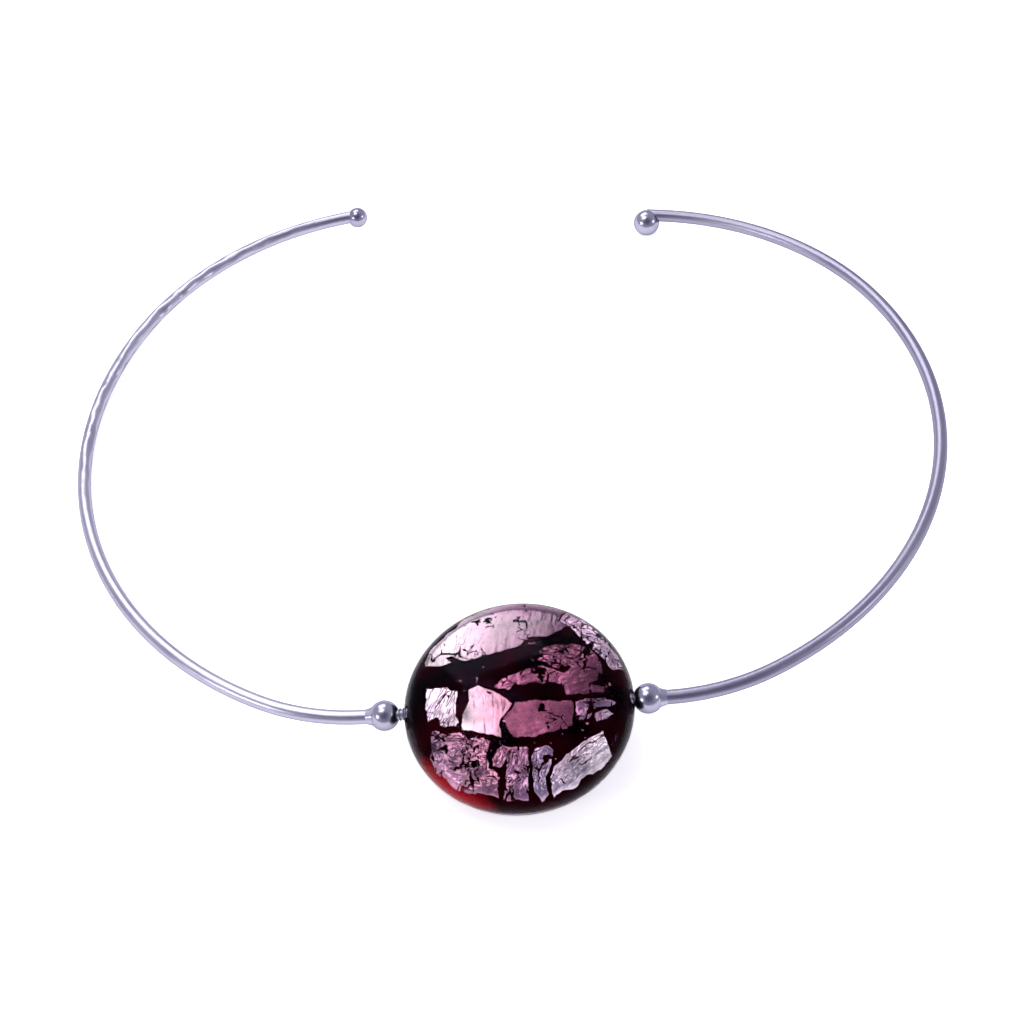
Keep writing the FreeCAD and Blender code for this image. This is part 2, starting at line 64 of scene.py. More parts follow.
# The bead's own frame: x along the bore, z out of its front face.
BEAD_LEAN = math.radians(6.7)
BEAD_MIDDLE = sum((Vector(corner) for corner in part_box("glass_core")), Vector()) / 2
BEAD_NORMAL = Matrix.Rotation(BEAD_LEAN, 3, STUD_AXIS) @ RING_NORMAL
BEAD_UP = BEAD_NORMAL.cross(STUD_AXIS).normalized()

# Sizes of the bead, in millimetres, the same as in the CAD model.
GLASS_RADIUS = 8.5
GLASS_HALF = 3.2
GLASS_RIM = 1.8
CORE_RADIUS = 8.1
CORE_HALF = 2.19
CORE_RIM = 1.25
BORE_RADIUS = 0.56


def frame_matrix(origin, x_axis, y_axis, z_axis):
    """The transform from a local frame, in millimetres, to the model, in metres."""
    matrix = Matrix((x_axis, y_axis, z_axis)).transposed().to_4x4()
    matrix.translation = origin
    return matrix @ Matrix.Scale(MM, 4)


BEAD_FRAME = frame_matrix(BEAD_MIDDLE, STUD_AXIS, BEAD_UP, BEAD_NORMAL)


# ---------------------------------------------------------------------------------------
# Small helpers
# ---------------------------------------------------------------------------------------

def new_mesh_object(name, vertices, faces):
    """A mesh in the scene, as an object of its own."""
    mesh = bpy.data.meshes.new(name)
    mesh.from_pydata([tuple(v) for v in vertices], [], [tuple(f) for f in faces])
    mesh.update()
    piece = bpy.data.objects.new(name, mesh)
    bpy.context.scene.collection.objects.link(piece)
    return piece


def smooth(piece):
    """Smooth shading over all of a piece."""
    piece.data.polygons.foreach_set("use_smooth", [True] * len(piece.data.polygons))
    piece.data.update()


def apply_modifiers(piece):
    """Replace a piece's mesh with the one that its modifiers give."""
    graph = bpy.context.evaluated_depsgraph_get()
    final = bpy.data.meshes.new_from_object(piece.evaluated_get(graph))
    piece.modifiers.clear()
    piece.data = final


# Cells along a side of the repeating noise lattice, and a shift that keeps places positive.
NOISE_LATTICE = 64
NOISE_SHIFT = 1000.5


def value_noise(x, y, scale, seed):
    """Smooth noise from -1 to 1 over a plane, with features about scale across."""
    size = NOISE_LATTICE
    lattice = np.random.RandomState(seed).uniform(-1.0, 1.0, (size, size))
    u = x / scale + NOISE_SHIFT
    v = y / scale + NOISE_SHIFT
    i = np.floor(u).astype(int)
    j = np.floor(v).astype(int)
    fu = u - i
    fv = v - j
    fu = fu * fu * (3 - 2 * fu)
    fv = fv * fv * (3 - 2 * fv)
    corner = [[lattice[(i + a) % size, (j + b) % size] for b in (0, 1)] for a in (0, 1)]
    low = corner[0][0] * (1 - fu) + corner[1][0] * fu
    high = corner[0][1] * (1 - fu) + corner[1][1] * fu
    return low * (1 - fv) + high * fv


def rough_noise(x, y, scale, seed, octaves=3):
    """Value noise with finer and fainter copies of itself on top."""
    total = 0.0
    for octave in range(octaves):
        total = total + value_noise(x, y, scale / 2 ** octave, seed + octave) / 2 ** octave
    return total


def new_material(name):
    """A material with its node tree and its shader, and the object's own coordinates."""
    material = bpy.data.materials.new(name)
    material.use_nodes = True
    tree = material.node_tree
    place = tree.nodes.new("ShaderNodeTexCoord").outputs["Object"]
    return material, tree, tree.nodes["Principled BSDF"], place


def add_noise(tree, place, scale, detail=2.0, roughness=0.5):
    """The output of a noise texture with features 1 / scale metres across."""
    noise = tree.nodes.new("ShaderNodeTexNoise")
    noise.inputs["Scale"].default_value = scale
    noise.inputs["Detail"].default_value = detail
    noise.inputs["Roughness"].default_value = roughness
    tree.links.new(place, noise.inputs["Vector"])
    return noise.outputs["Fac"]


def add_bump(tree, height, strength, distance, below=None):
    """The normal that a height gives, on top of another bump's normal if there is one."""
    bump = tree.nodes.new("ShaderNodeBump")
    bump.inputs["Strength"].default_value = strength
    bump.inputs["Distance"].default_value = distance
    tree.links.new(height, bump.inputs["Height"])
    if below:
        tree.links.new(below, bump.inputs["Normal"])
    return bump.outputs["Normal"]


def add_ramp(tree, value, *stops):
    """The colour of a ramp whose stops are (position, colour), from low to high."""
    ramp = tree.nodes.new("ShaderNodeValToRGB")
    elements = ramp.color_ramp.elements
    elements[0].position, elements[0].color = stops[0]
    elements[1].position, elements[1].color = stops[-1]
    for position, color in stops[1:-1]:
        elements.new(position).color = color
    tree.links.new(value, ramp.inputs["Fac"])
    return ramp.outputs["Color"]


def add_range(tree, value, low, high, from_low=0.0, from_high=1.0):
    """A value carried from one range to another."""
    scaled = tree.nodes.new("ShaderNodeMapRange")
    scaled.inputs["From Min"].default_value = from_low
    scaled.inputs["From Max"].default_value = from_high
    scaled.inputs["To Min"].default_value = low
    scaled.inputs["To Max"].default_value = high
    tree.links.new(value, scaled.inputs["Value"])
    return scaled.outputs["Result"]


def add_reach(tree, place, direction):
    """How far a place lies in a direction, in metres."""
    toward = tree.nodes.new("ShaderNodeVectorMath")
    toward.operation = "DOT_PRODUCT"
    toward.inputs[1].default_value = direction
    tree.links.new(place, toward.inputs[0])
    return toward.outputs["Value"]


def give(piece, material):
    """Cover a piece with one material."""
    piece.data.materials.clear()
    piece.data.materials.append(material)


def lens_profile(radius, half, rim, steps=40):
    """Points (r, z) from the middle of the top face round the rim to the middle of the back."""
    rim_x = radius - rim
    dome = (rim_x ** 2 + half ** 2 - rim ** 2) / (2 * (half - rim))
    spread = math.asin(rim_x / (dome - rim))
    points = []
    for step in range(steps + 1):
        angle = spread * step / steps
        points.append((dome * math.sin(angle), dome * math.cos(angle) - (dome - half)))
    for step in range(1, steps):
        angle = spread + (math.pi - 2 * spread) * step / steps
        points.append((rim_x + rim * math.sin(angle), rim * math.cos(angle)))
    for step in range(steps, -1, -1):
        angle = spread * step / steps
        points.append((dome * math.sin(angle), (dome - half) - dome * math.cos(angle)))
    return points


def lens_height(radius, half, rim, r):
    """Height of the lens surface at distance r from its axis, as an array."""
    rim_x = radius - rim
    dome = (rim_x ** 2 + half ** 2 - rim ** 2) / (2 * (half - rim))
    join = dome * rim_x / (dome - rim)
    on_dome = np.sqrt(np.maximum(dome ** 2 - r ** 2, 0)) - (dome - half)
    on_rim = np.sqrt(np.maximum(rim ** 2 - (r - rim_x) ** 2, 0))
    return np.where(r <= join, on_dome, on_rim)


# ---------------------------------------------------------------------------------------
# Materials
# ---------------------------------------------------------------------------------------

# The side of the ring where the left arm shows the marks of the pliers, and how far out in that
# direction they begin and are full.
WORKED_SIDE = (-0.88, 0.47, 0.0)
WORKED_REACH = (29.0 * MM, 32.0 * MM)

# How far from the bead's middle the painted glow on its rim begins, and where it is full.
PAINTED_GLOW_REACH = (7.2 * MM, 8.1 * MM)


def plier_marks(tree, place):
    """Shallow flats left by the pliers where the left arm was bent the hardest."""
    reach = add_reach(tree, place, WORKED_SIDE)
    height = tree.nodes.new("ShaderNodeMath")
    height.operation = "MULTIPLY"
    tree.links.new(add_range(tree, reach, 0, 1, *WORKED_REACH), height.inputs[0])
    flats = add_noise(tree, place, scale=650.0, detail=0.0)
    tree.links.new(flats, height.inputs[1])
    return add_bump(tree, height.outputs["Value"], strength=1.0, distance=0.4 * MM)


def plated_metal(name, color, roughness, grain, marks, worked=False):
    """Bright plated metal with fine drawing lines, soft cloudiness and small tool marks."""
    material, tree, shader, place = new_material(name)
    shader.inputs["Metallic"].default_value = 1.0
    shader.inputs["Specular Tint"].default_value = (0.42, 0.41, 0.50, 1)
    cloud = add_noise(tree, place, scale=260.0, detail=4.0)
    dull = (color[0] * 0.86, color[1] * 0.85, color[2] * 0.90, 1)
    tint = add_ramp(tree, cloud, (0.3, dull), (0.7, (*color, 1)))
    tree.links.new(tint, shader.inputs["Base Color"])
    gloss = add_range(tree, cloud, roughness * 0.7, roughness * 1.5)
    tree.links.new(gloss, shader.inputs["Roughness"])
    bent = plier_marks(tree, place) if worked else None
    dents = add_noise(tree, place, scale=1100.0)
    dented = add_bump(tree, dents, marks, distance=0.05 * MM, below=bent)
    lines = add_noise(tree, place, scale=2600.0, detail=3.0)
    drawn = add_bump(tree, lines, grain, distance=0.01 * MM, below=dented)
    tree.links.new(drawn, shader.inputs["Normal"])
    return material


def amethyst_glass():
    """Clear fire-polished glass that turns from mauve to ruby as it gets deeper."""
    material, tree, shader, place = new_material("amethyst_glass")
    shader.inputs["Base Color"].default_value = (1, 1, 1, 1)
    shader.inputs["Roughness"].default_value = 0.0
    shader.inputs["IOR"].default_value = 1.27
    shader.inputs["Transmission Weight"].default_value = 1.0
    shader.inputs["Specular Tint"].default_value = (0.06, 0.05, 0.16, 1)
    wave = add_noise(tree, place, scale=190.0, detail=1.0)
    wavy = add_bump(tree, wave, strength=0.12, distance=0.1 * MM)
    tree.links.new(wavy, shader.inputs["Normal"])
    depth = tree.nodes.new("ShaderNodeVolumeAbsorption")
    depth.inputs["Color"].default_value = (0.84, 0.34, 0.55, 1)
    depth.inputs["Density"].default_value = 420.0
    tree.links.new(depth.outputs["Volume"], tree.nodes["Material Output"].inputs["Volume"])
    return material


def painted_ruby_glow(tree, place):
    """How much painted glow the rim has at a place: ruby colour low on the left, for the light
    that comes in there.
    """
    offset = tree.nodes.new("ShaderNodeVectorMath")
    offset.operation = "SUBTRACT"
    offset.inputs[1].default_value = BEAD_MIDDLE
    tree.links.new(place, offset.inputs[0])
    low_left = (-STUD_AXIS * 0.62 - BEAD_UP * 0.78).normalized()
    reach = add_reach(tree, offset.outputs["Vector"], low_left)
    return add_range(tree, reach, 0, 1, *PAINTED_GLOW_REACH)


def dark_glass():
    """Near-black burgundy glass with cloudy streaks of deep red, and a painted ruby glow at its
    rim.
    """
    material, tree, shader, place = new_material("dark_glass")
    black = (0.001, 0.0001, 0.0004, 1)
    burgundy = (0.024, 0.0008, 0.002, 1)
    # The ruby is a painted glow: colour low on the left of the rim, for light that shines in
    # through the glass.
    ruby = (0.42, 0.005, 0.012, 1)
    cloud = add_noise(tree, place, scale=330.0, detail=5.0)
    tint = add_ramp(tree, cloud, (0.42, black), (0.75, burgundy))
    shader.inputs["Roughness"].default_value = 0.5
    shader.inputs["IOR"].default_value = 1.45
    shader.inputs["Specular IOR Level"].default_value = 0.0
    mix = tree.nodes.new("ShaderNodeMix")
    mix.data_type = "RGBA"
    tree.links.new(painted_ruby_glow(tree, place), mix.inputs["Factor"])
    tree.links.new(tint, mix.inputs["A"])
    mix.inputs["B"].default_value = ruby
    tree.links.new(mix.outputs["Result"], shader.inputs["Base Color"])
    return material


def silver_foil():
    """Crinkled silver leaf: bright metal whose colour is painted on the mesh, with painted glare
    in it.
    """
    material, tree, shader, place = new_material("silver_foil")
    shader.inputs["Metallic"].default_value = 1.0
    # The colour on the mesh holds painted glare as well as the leaf's own colour.
    tone = tree.nodes.new("ShaderNodeAttribute")
    tone.attribute_name = "tone"
    tree.links.new(tone.outputs["Color"], shader.inputs["Base Color"])
    grain = add_noise(tree, place, scale=2400.0, detail=6.0, roughness=0.65)
    gloss = add_range(tree, grain, low=0.14, high=0.36)
    tree.links.new(gloss, shader.inputs["Roughness"])
    grained = add_bump(tree, grain, strength=0.35, distance=0.03 * MM)
    tree.links.new(grained, shader.inputs["Normal"])
    return material


# ---------------------------------------------------------------------------------------
# The glass
# ---------------------------------------------------------------------------------------

def spun_solid(name, profile, segments):
    """A closed solid of revolution about local z, whose profile starts and ends on the axis."""
    vertices = [(0.0, 0.0, profile[0][1])]
    for r, z in profile[1:-1]:
        for turn in range(segments):
            angle = 2 * math.pi * turn / segments
            vertices.append((r * math.cos(angle), r * math.sin(angle), z))
    vertices.append((0.0, 0.0, profile[-1][1]))
    last = len(vertices) - 1
    rings = len(profile) - 2
    faces = []
    for turn in range(segments):
        after = (turn + 1) % segments
        faces.append((0, 1 + turn, 1 + after))
        foot = 1 + (rings - 1) * segments
        faces.append((last, foot + after, foot + turn))
        for ring in range(rings - 1):
            a = 1 + ring * segments
            b = a + segments
            faces.append((a + turn, b + turn, b + after, a + after))
    return new_mesh_object(name, vertices, faces)


def sharpen(piece, angle):
    """Smooth shading that breaks only at edges sharper than the angle."""
    smooth(piece)
    work = bmesh.new()
    work.from_mesh(piece.data)
    for edge in work.edges:
        if len(edge.link_faces) == 2:
            edge.smooth = edge.calc_face_angle() < angle
    work.to_mesh(piece.data)
    work.free()


def build_glass():
    """The bead's clear glass as one solid, with the bore through it from side to side."""
    profile = lens_profile(GLASS_RADIUS, GLASS_HALF, GLASS_RIM)
    glass = spun_solid("bead_glass", profile, segments=192)
    end = GLASS_RADIUS * 1.2
    drill_profile = [(0, end), (BORE_RADIUS, end), (BORE_RADIUS, -end), (0, -end)]
    drill = spun_solid("drill", drill_profile, segments=48)
    drill.data.transform(Matrix.Rotation(math.pi / 2, 4, "Y"))
    cut = glass.modifiers.new("bore", "BOOLEAN")
    cut.operation = "DIFFERENCE"
    cut.solver = "EXACT"
    cut.object = drill
    apply_modifiers(glass)
    bpy.data.objects.remove(drill)
    sharpen(glass, math.radians(35))
    glass.data.transform(BEAD_FRAME)
    return glass


# ---------------------------------------------------------------------------------------
# The foil
# ---------------------------------------------------------------------------------------

# A flake of foil: its colour at the left and at the right, the depth of its crinkles in
# millimetres, the direction of its grain in degrees, the share of it that is cracked, and its
# outline in millimetres in the bead's frame.
Flake = namedtuple("Flake", "name left_tone right_tone crinkle grain cracked outline")

# Colours of the foil. GLARE is painted glare: a near-white that stands in for the lights
# mirrored in the leaf. Each flake blends from its left colour to its right one, partly the
# leaf's own colour and partly painted glare, lighter where the lights would mirror.
GLARE = (0.95, 1.0, 0.98)
PALE = (0.90, 0.82, 0.93)
ROSE = (0.64, 0.36, 0.45)
MAUVE = (0.50, 0.33, 0.46)
SMOKE = (0.52, 0.47, 0.60)
PLUM = (0.44, 0.22, 0.32)
DUSK = (0.28, 0.12, 0.18)
HAZE = (0.15, 0.09, 0.14)

FLAKES = (
    Flake("top_sheet", GLARE, HAZE, 0.009, 80, 0.10, (
        (-6.9, 3.3), (-6.5, 4.6), (-5.4, 5.7), (-3.9, 7.1), (-2.2, 7.9), (-0.3, 8.4), (1.2, 8.4),
        (2.8, 8.0), (3.8, 7.3), (3.2, 6.2), (4.0, 5.8), (3.0, 5.1), (2.2, 4.7), (1.3, 4.6),
        (0.7, 4.3), (0.1, 3.8), (-0.8, 3.6), (-1.9, 3.4), (-2.7, 3.1), (-3.5, 3.0), (-4.4, 3.3),
        (-4.9, 3.7), (-5.3, 3.6), (-4.8, 3.0), (-5.7, 2.9))),
    Flake("upper_right_rim", MAUVE, PALE, 0.07, 130, 0.9, (
        (3.9, 7.2), (5.3, 6.3), (6.6, 4.8), (7.6, 3.3), (8.0, 2.0), (7.3, 1.9), (6.4, 2.9),
        (5.4, 4.0), (4.6, 5.1), (4.1, 5.7), (3.3, 6.2))),
    Flake("upper_right", PLUM, DUSK, 0.06, 20, 0.6, (
        (1.8, 3.3), (2.6, 3.9), (3.6, 4.1), (4.7, 3.9), (5.7, 3.5), (6.3, 2.6), (6.2, 1.8),
        (4.7, 1.6), (3.8, 2.2), (3.0, 1.9), (2.1, 2.2), (1.6, 2.5))),
    Flake("arch", PLUM, DUSK, 0.02, 10, 0.3, (
        (-1.8, 0.6), (-1.1, 1.0), (-0.1, 1.5), (0.8, 1.9), (1.7, 2.0), (2.6, 1.8), (3.6, 1.5),
        (4.5, 2.4), (6.1, 2.6), (6.4, 1.5), (5.5, 0.5), (6.7, 0.3), (6.5, -0.1), (4.8, -0.4),
        (3.7, -0.3), (3.5, 0.3), (2.3, 0.6), (1.0, 0.7), (-0.1, 0.5), (-0.5, 0.1), (-1.1, 0.3))),
    Flake("left_square", PALE, GLARE, 0.035, 60, 0.15, (
        (-6.8, 1.2), (-5.9, 1.1), (-4.4, 0.7), (-4.5, -1.0), (-4.5, -2.4), (-5.8, -2.0),
        (-5.9, -1.4), (-6.7, -1.6), (-6.9, -0.5))),
    Flake("bright", GLARE, ROSE, 0.009, 90, 0.1, (
        (-3.6, 0.5), (-2.8, 0.7), (-1.8, 0.3), (-1.0, -0.3), (-0.4, -0.9), (-0.5, -1.4),
        (-1.1, -1.9), (-1.3, -2.5), (-1.2, -3.4), (-2.2, -3.2), (-3.2, -2.9), (-4.2, -2.6),
        (-4.3, -2.2), (-3.6, -0.3))),
    Flake("smooth", DUSK, DUSK, 0.006, 0, 0.1, (
        (-0.2, -0.8), (1.6, -0.8), (4.0, -0.8), (4.2, -1.6), (3.9, -2.8), (2.7, -3.3),
        (1.4, -3.6), (0.1, -3.6), (-0.7, -3.1), (-1.0, -2.0), (-0.3, -1.4))),
    Flake("grey_small", MAUVE, SMOKE, 0.03, 0, 0.3, (
        (4.3, -0.9), (5.5, -0.7), (6.9, -0.6), (7.3, -1.0), (6.6, -1.3), (5.6, -1.5),
        (5.2, -2.2), (4.3, -2.6))),
    Flake("right_sliver", MAUVE, PALE, 0.05, 20, 0.2, (
        (5.6, -1.9), (6.6, -1.5), (7.1, -1.9), (6.4, -2.4), (5.7, -2.5))),
    Flake("lower_left", MAUVE, ROSE, 0.06, -15, 0.5, (
        (-6.4, -2.3), (-5.1, -2.8), (-4.2, -2.9), (-3.8, -3.3), (-3.0, -3.2), (-2.0, -3.7),
        (-2.3, -4.6), (-2.4, -5.6), (-2.0, -5.9), (-1.5, -6.5), (-1.7, -7.7), (-3.2, -7.4),
        (-4.6, -6.9), (-6.0, -5.9), (-6.6, -4.4))),
    Flake("lower_mid", ROSE, MAUVE, 0.05, 80, 0.4, (
        (-1.9, -4.8), (-1.3, -4.0), (-0.8, -4.3), (0.6, -4.4), (0.7, -5.8), (0.5, -8.1),
        (-0.7, -8.0), (-1.3, -7.8), (-1.0, -6.4), (-1.0, -5.2), (-1.5, -5.8), (-2.1, -5.6))),
    Flake("lower_small", SMOKE, SMOKE, 0.05, 80, 0.3, (
        (1.0, -4.6), (1.9, -4.3), (2.5, -4.7), (2.1, -5.9), (1.8, -6.7), (2.0, -7.6),
        (1.3, -8.2), (0.9, -7.6), (0.8, -6.1))),
    Flake("blade", PALE, GLARE, 0.08, 38, 0.25, (
        (2.3, -7.8), (2.1, -6.6), (2.4, -5.9), (3.8, -4.8), (5.3, -3.6), (6.1, -3.2),
        (6.4, -4.0), (6.7, -5.0), (5.4, -6.0), (3.9, -7.1))),
)

# Crumbs of foil strewn in the gaps, pale on the left, as painted glare, and rose on the right.
# The speck of an outline only says where the colour changes.
CRUMBS = Flake("crumbs", PALE, ROSE, 0.05, 0, 0.0, ((0, 0), (0.01, 0), (0, 0.01)))

# Share of the outlines' size that the foil is laid at, its height above the core, the thickness
# of the leaf and the radius that it stays within, in millimetres.
FOIL_SPAN = 0.975
FOIL_LIFT = 0.03
FOIL_THICKNESS = 0.015
FOIL_REACH = 8.0

# How ragged the flakes' edges are and how jagged the cracks, the size of the cells in the two
# nets of cracks, the usual width of an open crack, and how far out the crumbs lie, in
# millimetres.
RAGGED_EDGE = 0.13
JAGGED_CRACK = 0.10
CRACK_SPACING = 1.0
FINE_CRACK_SPACING = 0.5
CRACK_WIDTH = 0.09
CRUMB_REACH = 7.6

# Cells along each side of the grid that the foil is cut from.
FOIL_CELLS = 330


def inside(outline, x, y):
    """True where a point lies inside a closed outline."""
    result = np.zeros(x.shape, dtype=bool)
    for (x0, y0), (x1, y1) in zip(outline, outline[1:] + outline[:1]):
        if y0 == y1:
            continue
        crosses = (y0 > y) != (y1 > y)
        result ^= crosses & (x < (x1 - x0) * (y - y0) / (y1 - y0) + x0)
    return result


def crack_distance(x, y, spacing, seed):
    """Distance to the nearest edge of a random net of cells, about spacing across."""
    random = np.random.RandomState(seed)
    count = int((2 * FOIL_REACH / spacing) ** 2)
    centres = random.uniform(-FOIL_REACH, FOIL_REACH, (count, 2))
    nearest = np.full(x.shape, 99.0)
    second = np.full(x.shape, 99.0)
    for cx, cy in centres:
        distance = np.hypot(x - cx, y - cy)
        second = np.minimum(second, np.maximum(nearest, distance))
        nearest = np.minimum(nearest, distance)
    return second - nearest


def striations(x, y, direction, seed):
    """Fine folds that run along one direction."""
    angle = math.radians(direction)
    along = x * math.cos(angle) + y * math.sin(angle)
    over = y * math.cos(angle) - x * math.sin(angle)
    return np.abs(rough_noise(along * 0.22, over, 0.34, seed))


def blend(low, high, share):
    """A colour part of the way from one to another."""
    return [a + (b - a) * share for a, b in zip(low, high)]


def resized(outline, scale):
    """An outline at another size."""
    return [(x * scale, y * scale) for x, y in outline]


def flake_map(flakes, x, y, seed):
    """Which flake each cell of the grid belongs to, with ragged outlines, or -1 for none."""
    warp_x = x + RAGGED_EDGE * rough_noise(x, y, 0.8, seed, octaves=4)
    warp_y = y + RAGGED_EDGE * rough_noise(x, y, 0.8, seed + 20, octaves=4)
    owner = np.full(x.shape, -1)
    for index, flake in enumerate(flakes):
        owner[inside(resized(flake.outline, FOIL_SPAN), warp_x, warp_y)] = index
    return owner


def open_cracks(owner, flakes, x, y, seed):
    """Cut fine jagged cracks: a random net, longer up the face than across it, that is open only
    here and there."""
    bent_x = x + JAGGED_CRACK * rough_noise(x, y, 0.32, seed + 5)
    bent_y = y + JAGGED_CRACK * rough_noise(x, y, 0.32, seed + 6)
    gap = crack_distance(bent_x, bent_y * 0.6, CRACK_SPACING, seed + 7)
    fine_gap = crack_distance(bent_x, bent_y, FINE_CRACK_SPACING, seed + 8)
    patch = 0.5 + 0.5 * rough_noise(x, y, 1.4, seed + 9)
    width = CRACK_WIDTH * (0.5 + 0.5 * rough_noise(x, y, 0.6, seed + 10, octaves=2))
    cracked = np.array([flake.cracked for flake in flakes])[owner]
    owner[(gap < width) & (patch < cracked + 0.2)] = -1
    owner[(fine_gap < width) & (patch < cracked - 0.08)] = -1


def strew_crumbs(owner, crumbs, x, y, seed):
    """Lay crumbs of foil in the dark gaps between the flakes."""
    crumb = rough_noise(x, y, 0.30, seed + 12, octaves=2) > 1.02
    strewn = rough_noise(x, y, 2.4, seed + 13, octaves=2) > 0.05
    owner[(owner < 0) & crumb & strewn & (np.hypot(x, y) < CRUMB_REACH)] = crumbs


def crinkles(flakes, x, y, seed):
    """Height of the folds, whose depth and direction go with the flake."""
    nearest = np.full(x.shape, 0)
    for index, flake in enumerate(flakes):
        nearest[inside(resized(flake.outline, FOIL_SPAN * 1.04), x, y)] = index
    fold = np.zeros(x.shape)
    ruffle = np.abs(rough_noise(x, y, 0.22, seed + 80, octaves=2))
    for index, flake in enumerate(flakes):
        folds = striations(x, y, flake.grain, seed + 30 + index)
        crease = np.abs(rough_noise(x, y, 1.5, seed + 60 + index, octaves=4))
        depth = flake.crinkle * (2.0 * folds + 1.6 * crease + 0.4 * ruffle)
        fold = np.where(nearest == index, depth, fold)
    return fold * np.clip((FOIL_REACH - np.hypot(x, y)) / 0.8, 0.15, 1)


def foil_height(flakes, x, y, seed):
    """Height of the crinkled foil: the core's own surface with the folds on top."""
    distance = np.minimum(np.hypot(x, y), CORE_RADIUS - 0.01)
    core = lens_height(CORE_RADIUS, CORE_HALF, CORE_RIM, distance)
    return core + FOIL_LIFT + crinkles(flakes, x, y, seed)


def foil_tone_and_glare(flake, x, shade):
    """Colour of the foil at a point: a blend from the left to the right of its flake, partly the
    leaf's own colour and partly painted glare, and lighter in places.
    """
    left = min(px for px, _ in flake.outline) * FOIL_SPAN
    right = max(px for px, _ in flake.outline) * FOIL_SPAN
    share = (x - left) / (right - left) + 0.5 * (shade - 0.5)
    # The blend between the flake's two colours is where the glare is painted.
    tone = blend(flake.left_tone, flake.right_tone, min(max(share, 0), 1) ** 0.6)
    return [value * (0.35 + 0.9 * shade) for value in tone]


def foil_mesh(name, flakes, cells, facing, seed):
    """The sheet as a mesh of the grid's cells that hold foil, with its colour, painted glare and
    all, on the points.
    """
    step = 2 * FOIL_REACH / cells
    ticks = (np.arange(cells) + 0.5) * step - FOIL_REACH
    x, y = np.meshgrid(ticks, ticks, indexing="ij")
    owner = flake_map(flakes, x, y, seed)
    open_cracks(owner, flakes, x, y, seed)
    strew_crumbs(owner, flakes.index(CRUMBS), x, y, seed)
    owner[x ** 2 + y ** 2 > FOIL_REACH ** 2] = -1

    edges = np.arange(cells + 1) * step - FOIL_REACH
    x, y = np.meshgrid(edges, edges, indexing="ij")
    height = foil_height(flakes, x, y, seed)
    shade = 0.5 + 0.5 * rough_noise(x, y, 2.2, seed + 90, octaves=4)
    used = {}
    vertices, tones_and_glare, faces = [], [], []
    for i, j in zip(*np.nonzero(owner >= 0)):
        flake = flakes[owner[i, j]]
        corners = ((i, j), (i + 1, j), (i + 1, j + 1), (i, j + 1))
        for corner in corners:
            if corner not in used:
                used[corner] = len(vertices)
                vertices.append((x[corner], y[corner] * facing, height[corner] * facing))
                tones_and_glare.append(foil_tone_and_glare(flake, x[corner], shade[corner]))
        face = [used[corner] for corner in corners]
        faces.append(face if facing > 0 else face[::-1])
    foil = new_mesh_object(name, vertices, faces)
    colours = foil.data.color_attributes.new("tone", "FLOAT_COLOR", "POINT")
    colours.data.foreach_set("color", np.array([(*tone, 1.0) for tone in tones_and_glare]).ravel())
    return foil


def build_foil(name, facing, seed):
    """A crinkled, broken sheet of foil over one face of the core."""
    cells = FOIL_CELLS
    foil = foil_mesh(name, (*FLAKES, CRUMBS), cells, facing, seed)
    smooth(foil)
    thick = foil.modifiers.new("leaf", "SOLIDIFY")
    thick.thickness = FOIL_THICKNESS
    thick.offset = -1
    apply_modifiers(foil)
    foil.data.transform(BEAD_FRAME)
    return foil


# ---------------------------------------------------------------------------------------
# Studio
# ---------------------------------------------------------------------------------------

# The camera looks down on the ring from in front of the bead, and it is placed from the ring.
# It aims at a point so far across and so far ahead, as the camera sees it, of the place on the
# stud where the bead turns.
VIEW_HEIGHT = math.radians(50.42)
VIEW_SIDE = math.radians(4.36)
VIEW_ROLL = math.radians(7.39)
VIEW_DISTANCE = 160.3 * MM
VIEW_AIM = (1.55 * MM, 18.47 * MM)
VIEW_LENS = 71.13

# The unlit side of the room, which puts the dark line along the polished wire.
DIM_SIDE = (0.0, -0.57, 0.82)

# How far the floor goes from the object, in metres, so that its edge is out of sight.
FLOOR_REACH = 12.0


def build_camera():
    """The camera, aimed by the ring's own directions."""
    turn = Matrix.Rotation(VIEW_SIDE, 3, RING_NORMAL)
    across = turn @ STUD_AXIS
    ahead = turn @ RING_FORWARD
    look = ahead * math.cos(VIEW_HEIGHT) - RING_NORMAL * math.sin(VIEW_HEIGHT)
    up = ahead * math.sin(VIEW_HEIGHT) + RING_NORMAL * math.cos(VIEW_HEIGHT)
    right_hand = across * math.cos(VIEW_ROLL) - up * math.sin(VIEW_ROLL)
    top = across * math.sin(VIEW_ROLL) + up * math.cos(VIEW_ROLL)
    place = STUD_PLACE + across * VIEW_AIM[0] + ahead * VIEW_AIM[1] - look * VIEW_DISTANCE
    matrix = Matrix((right_hand, top, -look)).transposed().to_4x4()
    matrix.translation = place
    data = bpy.data.cameras.new("camera")
    data.lens = VIEW_LENS
    data.clip_start = 0.005
    camera = bpy.data.objects.new("camera", data)
    camera.matrix_world = matrix
    bpy.context.scene.collection.objects.link(camera)
    bpy.context.scene.camera = camera


def build_light(name, place, aim, width, height, power):
    """A rectangular softbox that faces a point."""
    data = bpy.data.lights.new(name, "AREA")
    data.shape = "RECTANGLE"
    data.size = width
    data.size_y = height
    data.energy = power
    light = bpy.data.objects.new(name, data)
    light.location = place
    light.rotation_euler = (Vector(aim) - Vector(place)).to_track_quat("-Z", "Y").to_euler()
    bpy.context.scene.collection.objects.link(light)


